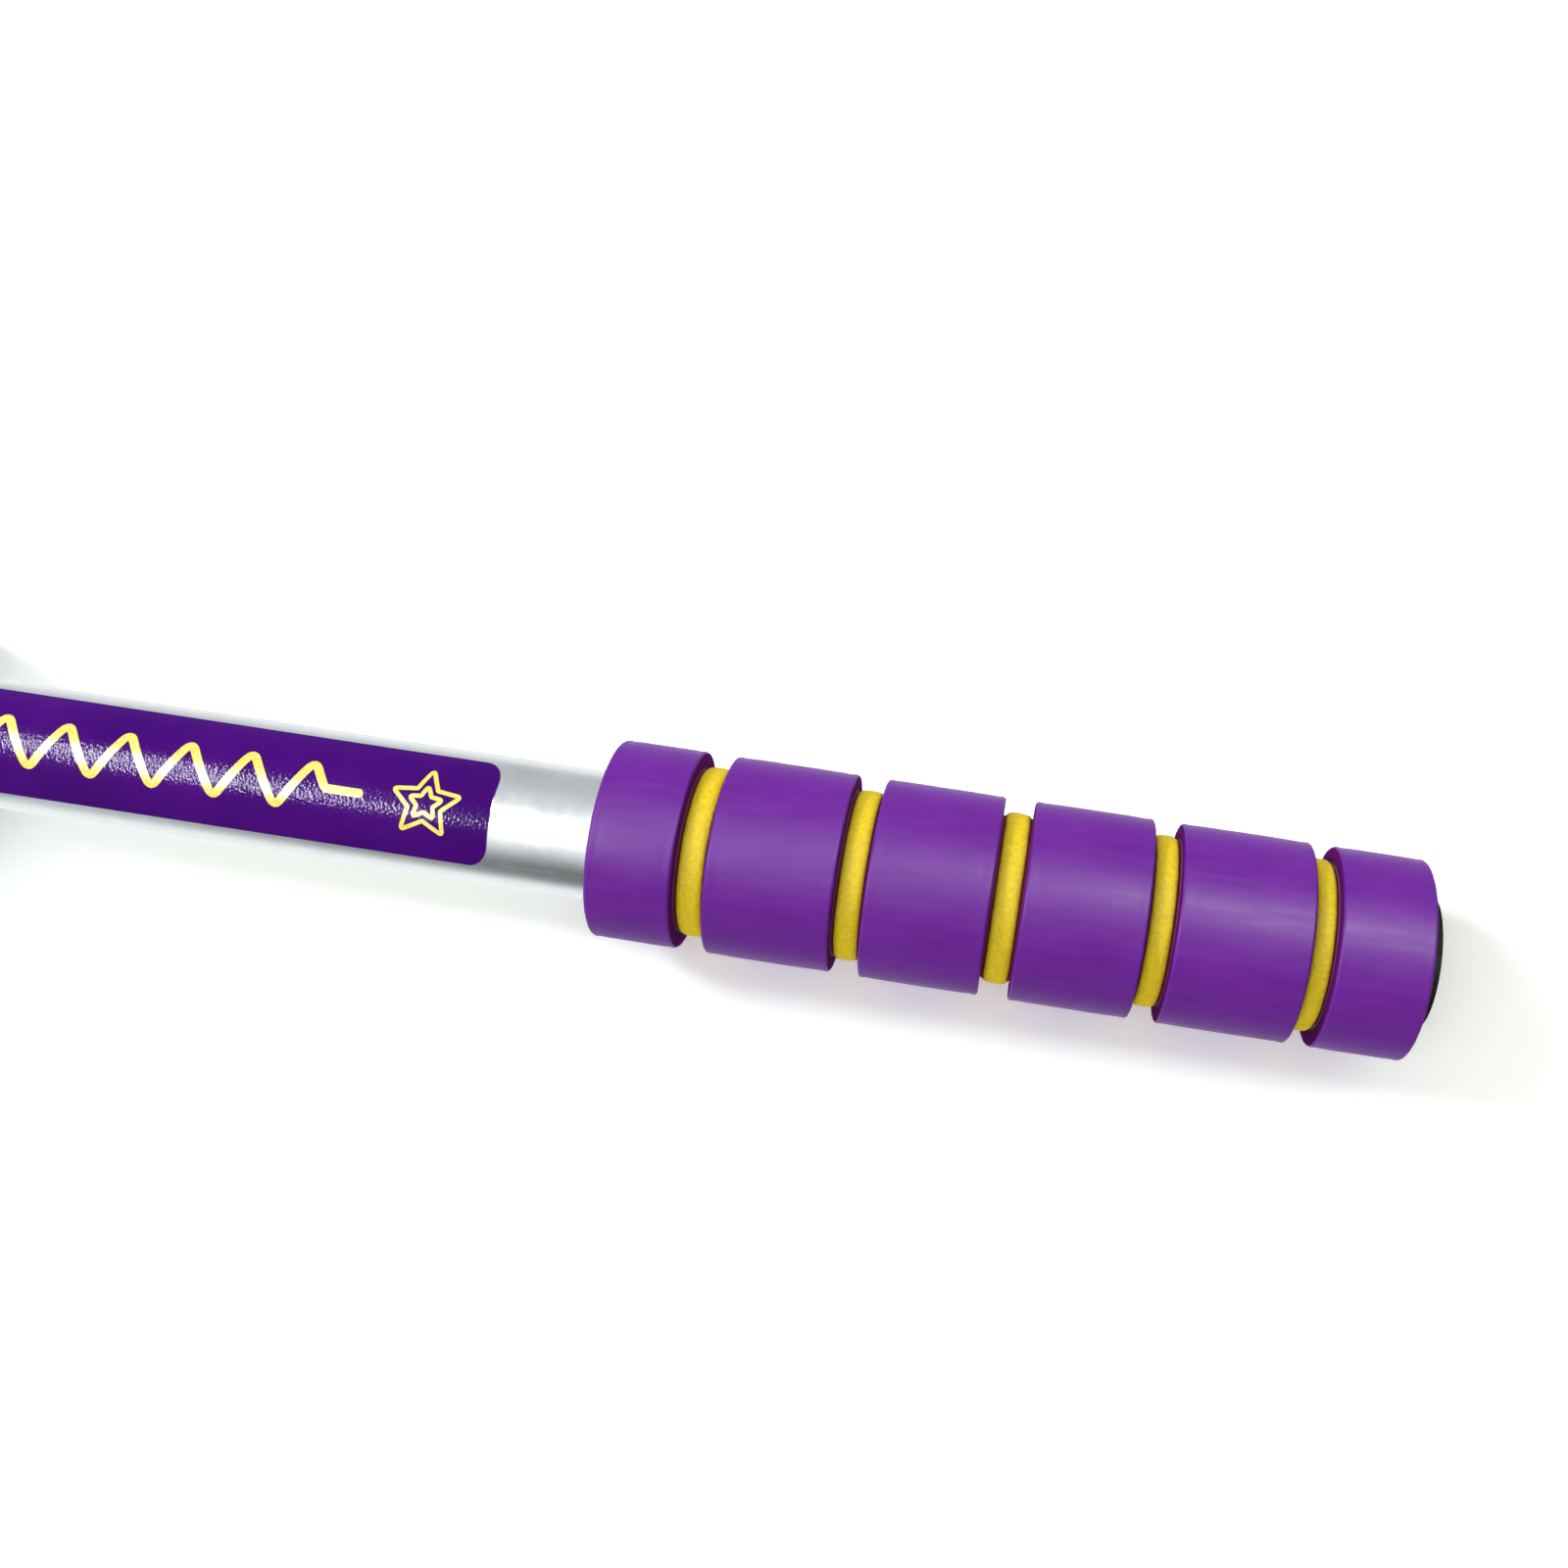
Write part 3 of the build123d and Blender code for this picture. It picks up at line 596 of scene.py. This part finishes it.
def ribbon(path, width, closed=False):
    """A flat ribbon along a 2D path, with round ends, as 2D points and faces."""
    verts, faces = [], []
    count = len(path)
    for i, here in enumerate(path):
        before = path[i - 1] if closed or i else here
        after = path[(i + 1) % count] if closed or i < count - 1 else here
        along = (after - before).normalized()
        across = Vector((-along.y, along.x))
        for side in (-1, -0.5, 0, 0.5, 1):
            verts.append(here + across * width / 2 * side)
    faces += grid_faces(count, 5, closed, False)
    if not closed:
        for end, inner in ((0, 1), (count - 1, count - 2)):
            along = (path[end] - path[inner]).normalized()
            across = Vector((-along.y, along.x))
            ring = []
            for k in range(ROUND_END_STEPS + 1):
                angle = pi * k / ROUND_END_STEPS
                ring.append(path[end] + (across * cos(angle) + along * sin(angle)) * width / 2)
            start = len(verts)
            verts += [path[end], *ring]
            faces += [(start, start + k, start + k + 1) for k in range(1, ROUND_END_STEPS + 1)]
    return verts, faces


def wrap(point, centre_x, radius):
    """A flat label point (along, up) laid on the handlebar's front."""
    angle = point.y / radius
    return Vector((centre_x + point.x, -radius * cos(angle), BAR_Z + radius * sin(angle)))


def spring_symbol():
    """The drawn sign for a spring: a straight lead, a zigzag and a straight lead."""
    start, end = -LABEL_LENGTH / 2 + ZIGZAG_START, LABEL_LENGTH / 2 - ZIGZAG_STOP
    step = (end - start - 2 * ZIGZAG_LEAD) / ZIGZAG_PEAKS
    corners = [(start, 0), (start + ZIGZAG_LEAD, 0)]
    for i in range(ZIGZAG_PEAKS):
        height = PRINT_HEIGHT / 2 * (1 if i % 2 == 0 else -1)
        corners.append((start + ZIGZAG_LEAD + (i + 0.5) * step, height))
    corners += [(end - ZIGZAG_LEAD, 0), (end, 0)]
    return rounded_path(corners, ZIGZAG_ROUND)


def star(outer, inner):
    """A five-pointed star's outline near the label's outer end."""
    centre = LABEL_LENGTH / 2 - STAR_FROM_END
    corners = []
    for i in range(10):
        radius = outer if i % 2 == 0 else inner
        angle = radians(90 + 36 * i)
        corners.append((centre + radius * cos(angle), radius * sin(angle)))
    return rounded_path(corners, STAR_ROUND, 4, True)


def label_print():
    """The zigzag and both stars as one flat shape."""
    zigzag = ribbon(dense(spring_symbol(), PRINT_STEP), PRINT_STROKE)
    stars = [ribbon(dense(star(*radii), STAR_STEP, True), STAR_STROKE, True) for radii in STARS]
    return joined([zigzag, *stars])


def add_label_print():
    flat, faces = label_print()
    for side, sign in (("right", 1), ("left", -1)):
        centre = sign * (label_low.x + label_high.x) / 2
        verts = [wrap(point, centre, LABEL_R + PRINT_LIFT) for point in flat]
        piece = new_piece(f"{side}_label_print", verts, faces)
        LOOKS["print_yellow"].put_on(piece)


# ---- weld beads ------------------------------------------------------------------------------------------
BEAD_R = 2.0 * MM
BEAD_OFF_TUBE = 0.1 * MM
BEAD_RIPPLES = 30
ROWS_IN_RIPPLE = 6
AROUND_BEAD = 12


def weld_ring(upright_r, z, sign):
    """A rippled bead along the curve where a tube along X meets an upright tube."""
    rows = BEAD_RIPPLES * ROWS_IN_RIPPLE
    across = BAR_R + BEAD_OFF_TUBE
    verts = []
    for i in range(rows):
        angle = 2 * pi * i / rows
        y, dz = across * cos(angle), across * sin(angle)
        here = Vector((sqrt(upright_r ** 2 - y ** 2), y, z + dz))
        from_tube = Vector((0, cos(angle), sin(angle)))
        from_upright = Vector((here.x, here.y, 0)).normalized()
        phase = (i / rows * BEAD_RIPPLES) % 1.0
        size = BEAD_R * (0.86 + 0.14 * sin(pi * phase) + 0.07 * noise.noise(here * BEAD_NOISE))
        for k in range(AROUND_BEAD):
            turn = 2 * pi * k / AROUND_BEAD
            point = here + from_tube * size * cos(turn) + from_upright * size * sin(turn)
            verts.append(Vector((point.x * sign, point.y, point.z)))
    faces = grid_faces(rows, AROUND_BEAD, True, True)
    return verts, (faces if sign > 0 else [tuple(reversed(f)) for f in faces])


def add_welds():
    for name, node, upright_r, z in (
        ("handlebar_weld_beads", "handlebar_welds", COLUMN_R, BAR_Z),
        ("peg_weld_beads", "peg_welds", COLLAR_R, PEG_Z),
    ):
        piece = new_piece(name, *joined(weld_ring(upright_r, z, sign) for sign in (1, -1)))
        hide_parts(node)
        LOOKS["weld_steel"].put_on(piece)


# ---- main spring -----------------------------------------------------------------------------------------
WIRE_R = 2.25 * MM
SPRING_TURNS = 38
CLOSED_TURNS = 1.0
CLOSED_RISE = 2 * WIRE_R * 1.02
SPRING_STEPS = 28
AROUND_WIRE = 12


def coil_height(turn, length):
    """Height of the wire's middle after so many turns: the end turns are wound closed."""
    open_turns = SPRING_TURNS - 2 * CLOSED_TURNS
    open_rise = (length - 2 * WIRE_R - 2 * CLOSED_RISE * CLOSED_TURNS) / open_turns
    rise = WIRE_R + min(turn, CLOSED_TURNS) * CLOSED_RISE
    rise += max(min(turn, SPRING_TURNS - CLOSED_TURNS) - CLOSED_TURNS, 0) * open_rise
    return rise + max(turn - (SPRING_TURNS - CLOSED_TURNS), 0) * CLOSED_RISE


def add_spring():
    length = spring_high.z - spring_low.z
    radius = (spring_high.x - spring_low.x) / 2 - WIRE_R
    rows = SPRING_TURNS * SPRING_STEPS + 1
    verts = []
    for i in range(rows):
        turn = i / SPRING_STEPS
        angle = 2 * pi * turn
        outward = Vector((cos(angle), sin(angle), 0))
        here = outward * radius + Vector((0, 0, spring_low.z + coil_height(turn, length)))
        for k in range(AROUND_WIRE):
            round_wire = 2 * pi * k / AROUND_WIRE
            height = here.z + WIRE_R * sin(round_wire)
            height = min(max(height, spring_low.z), spring_high.z)
            flat = here + outward * WIRE_R * cos(round_wire)
            verts.append(Vector((flat.x, flat.y, height)))
    faces = grid_faces(rows, AROUND_WIRE, False, True)
    faces.append(tuple(reversed(range(AROUND_WIRE))))
    faces.append(tuple(range((rows - 1) * AROUND_WIRE, rows * AROUND_WIRE)))
    piece = new_piece("main_spring_coil", verts, faces)
    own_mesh(piece)
    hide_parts("main_spring")
    LOOKS["spring_steel"].put_on(piece)


# ---- stage -----------------------------------------------------------------------------------------------
BOARD_Y = GRIP_R + 0.1 * MM
BOARD_HALF = (0.46, 1.0, 0.26)
BOARD_FADE = 0.38
BOARD_LEVELS = (0.93, 0.46)
BOARD_TINT = (1.0, 1.027, 0.978)
FLOOR_HALF = 1.3
FLOOR_FADE = 0.7
FLOOR_LEVELS = (0.90, 0.0)


def staged(name, corners, material):
    """A flat sheet with four corners that belongs to the stage."""
    mesh = bpy.data.meshes.new(name)
    mesh.from_pydata(corners, [], [(0, 1, 2, 3)])
    sheet = bpy.data.objects.new(name, mesh)
    sheet.data.materials.append(material)
    bpy.context.collection.objects.link(sheet)
    return sheet


def fading_white(name, centre, half, fade, one_sided, levels):
    """White board, lit up by two levels, that fades toward its edges and may show from one side only."""
    material = bpy.data.materials.new(name)
    material.use_nodes = True
    n = Nodes(material.node_tree)
    n.tree.nodes.clear()
    place = n.node("ShaderNodeTexCoord").outputs["Object"]
    away = n.filled("ShaderNodeVectorMath", {0: place, 1: centre}, operation="SUBTRACT")
    spread = n.filled("ShaderNodeVectorMath", {0: away, 1: half}, operation="DIVIDE")
    share = n.remap(n.length(spread), 1.0, 1.0 - fade, kind="SMOOTHSTEP")
    if one_sided:
        behind = n.node("ShaderNodeNewGeometry").outputs["Backfacing"]
        share = n.math("MULTIPLY", share, n.math("SUBTRACT", 1.0, behind))
    whites = []
    for level in levels:
        colour = (*(level * tint for tint in BOARD_TINT), 1.0)
        whites.append(n.filled("ShaderNodeBsdfDiffuse", {"Color": colour}))
    lift = n.filled("ShaderNodeAddShader", {0: whites[0], 1: whites[1]})
    clear = n.node("ShaderNodeBsdfTransparent").outputs[0]
    n.feed(n.node("ShaderNodeOutputMaterial").inputs["Surface"], n.mix_shaders(share, clear, lift))
    return material


def add_stage():
    """A floor, and a board close behind the bar that shows only to the camera and only from the front."""
    x, _, z = BOARD_HALF
    sides = ((-x, -z), (x, -z), (x, z), (-x, z))
    white = fading_white("board_white", (0, BOARD_Y, BAR_Z), BOARD_HALF, BOARD_FADE, True, BOARD_LEVELS)
    board = staged("board_behind_grip", [(dx, BOARD_Y, BAR_Z + dz) for dx, dz in sides], white)
    board.visible_glossy = board.visible_diffuse = board.visible_shadow = False
    f = FLOOR_HALF
    white = fading_white("floor_white", (0, 0, 0), (f, f, 1.0), FLOOR_FADE, False, FLOOR_LEVELS)
    floor = staged("floor", [(-f, -f, 0), (f, -f, 0), (f, f, 0), (-f, f, 0)], white)
    floor.visible_glossy = False


# ---- light -----------------------------------------------------------------------------------------------
AMBIENT_BELOW = 0.08
AMBIENT_ABOVE = 1.03
# What gloss reflects in front: a direction's height, from -1 straight down to 1 straight up, and its level.
REFLECTED = (
    (-1.00, 0.10),
    (-0.98, 0.15),
    (-0.905, 0.34),
    (-0.815, 0.55),
    (-0.68, 0.84),
    (-0.53, 1.07),
    (-0.19, 1.18),
    (0.17, 0.95),
    (0.51, 0.76),
    (0.80, 0.65),
    (0.98, 0.55),
    (1.00, 0.55),
)
# The level behind and beside, and where in Y and in X the front gives way to it.
REFLECTED_BEHIND = 1.0
BEHIND_FADE = (0.30, 0.80)
REFLECTED_BESIDE = 0.3
BESIDE_FADE = (0.58, 0.88)


def grey(level):
    return (level, level, level, 1.0)


def reflected_colour(n, direction, top):
    """The colour that gloss reflects from a direction, as a share of the top level."""
    ramp = n.node("ShaderNodeValToRGB")
    n.feed(ramp.inputs["Fac"], n.remap(direction["Z"], -1.0, 1.0))
    stops = ramp.color_ramp.elements
    for height, _ in REFLECTED[1:-1]:
        stops.new((height + 1) / 2)
    for stop, (height, level) in zip(stops, REFLECTED):
        stop.position = (height + 1) / 2
        stop.color = grey(level / top)
    beside = n.remap(n.math("ABSOLUTE", direction["X"]), *BESIDE_FADE, kind="SMOOTHSTEP")
    behind = n.remap(direction["Y"], *BEHIND_FADE, kind="SMOOTHSTEP")
    sided = n.blend(beside, ramp.outputs["Color"], grey(REFLECTED_BESIDE / top))
    return n.blend(behind, sided, grey(REFLECTED_BEHIND / top))


def add_world():
    """White to the eye, even light on matt surfaces, and a bright front, grey top and dark floor in gloss."""
    world = bpy.data.worlds.new("studio")
    bpy.context.scene.world = world
    world.use_nodes = True
    world.cycles.sampling_method = "NONE"
    n = Nodes(world.node_tree)
    n.tree.nodes.clear()
    direction = n.apart(n.node("ShaderNodeTexCoord").outputs["Generated"])
    top = max(level for _, level in REFLECTED)
    from_above = n.remap(direction["Z"], -1.0, 1.0, AMBIENT_BELOW, AMBIENT_ABOVE)
    matt, gloss, eye = (
        n.filled("ShaderNodeBackground", {"Color": colour, "Strength": strength})
        for colour, strength in (
            (grey(1.0), from_above),
            (reflected_colour(n, direction, top), top),
            (grey(1.0), 1.0),
        )
    )
    ray = n.node("ShaderNodeLightPath").outputs
    lit = n.mix_shaders(ray["Is Glossy Ray"], matt, gloss)
    seen = n.mix_shaders(ray["Is Camera Ray"], lit, eye)
    n.feed(n.node("ShaderNodeOutputWorld").inputs["Surface"], seen)


def add_lamp(name, toward, distance, aim, size, radiance, glossy=False, diffuse=True, tilt=0.0):
    """A soft box at a distance from its aim in a given direction, tilted about that line by some degrees."""
    data = bpy.data.lights.new(name, "AREA")
    data.shape = "RECTANGLE"
    data.size, data.size_y = size
    data.energy = radiance * pi * size[0] * size[1]
    lamp = bpy.data.objects.new(name, data)
    away = Vector(toward).normalized()
    facing = away.to_track_quat("Z", "Y").to_matrix().to_4x4()
    place = Matrix.Translation(Vector(aim) + away * distance)
    lamp.matrix_world = place @ facing @ Matrix.Rotation(radians(tilt), 4, "Z")
    lamp.visible_camera = False
    lamp.visible_glossy = glossy
    lamp.visible_diffuse = diffuse
    bpy.context.collection.objects.link(lamp)


def add_lights():
    grip = ((GRIP_START + GRIP_END) / 2, 0, BAR_Z)
    label = ((label_low.x + label_high.x) / 2, 0, BAR_Z)
    foot = (0, 0, 0.2)
    middle = (0, 0, 0.5)
    for_gloss = {"glossy": True, "diffuse": False}
    add_lamp("key", (-0.80, -0.74, 0.30), 1.6, grip, (0.42, 0.42), 26.0)
    add_lamp("front_box", (0.30, -1.0, 0.36), 1.5, grip, (0.56, 0.46), 78.0, **for_gloss)
    add_lamp("streak_box", (-0.477, -0.878, -0.052), 1.2, label, (0.12, 0.69), 170.0, tilt=20.0, **for_gloss)
    add_lamp("low_front", (-0.35, -1.0, 0.12), 1.8, foot, (0.9, 0.9), 2.0)
    add_lamp("back", (0.3, 1.0, 0.4), 1.9, middle, (1.2, 1.2), 3.0)


# ---- camera ----------------------------------------------------------------------------------------------
# It stands at a distance in front of a point on the bar's axis, swings below the bar about that axis, turns
# to its left and up, and rolls. The shift is there because the photograph is a crop.
CAMERA_X = GRIP_START + 56.6 * MM
CAMERA_DISTANCE = 235.4 * MM
CAMERA_LEFT = radians(2.36)
CAMERA_UP = radians(5.22)
CAMERA_ROLL = radians(8.72)
CAMERA_SWING = radians(4.2)
CAMERA_LENS = 36.97
CAMERA_SHIFT = (-0.1058, -0.0279)


def add_camera():
    """Close in front of the right grip and a little below it, with the bar sloping down to the right."""
    data = bpy.data.cameras.new("camera")
    data.lens = CAMERA_LENS
    data.shift_x, data.shift_y = CAMERA_SHIFT
    data.clip_start = 0.005
    forward = Vector((-sin(CAMERA_LEFT) * cos(CAMERA_UP), cos(CAMERA_LEFT) * cos(CAMERA_UP), sin(CAMERA_UP)))
    level_right = Vector((cos(CAMERA_LEFT), sin(CAMERA_LEFT), 0))
    level_up = level_right.cross(forward)
    right = level_right * cos(CAMERA_ROLL) + level_up * sin(CAMERA_ROLL)
    up = -level_right * sin(CAMERA_ROLL) + level_up * cos(CAMERA_ROLL)
    turned = Matrix((right, up, -forward)).transposed().to_4x4()
    to_bar = Matrix.Translation((CAMERA_X, 0, BAR_Z))
    back_off = Matrix.Translation((0, -CAMERA_DISTANCE, 0))
    camera = bpy.data.objects.new("camera", data)
    camera.matrix_world = to_bar @ Matrix.Rotation(CAMERA_SWING, 4, "X") @ back_off @ turned
    bpy.context.collection.objects.link(camera)
    bpy.context.scene.camera = camera


bpy.context.scene.view_settings.view_transform = "Standard"
dress_cad_nodes()
add_grips()
add_label_print()
add_welds()
add_spring()
add_stage()
add_world()
add_lights()
add_camera()
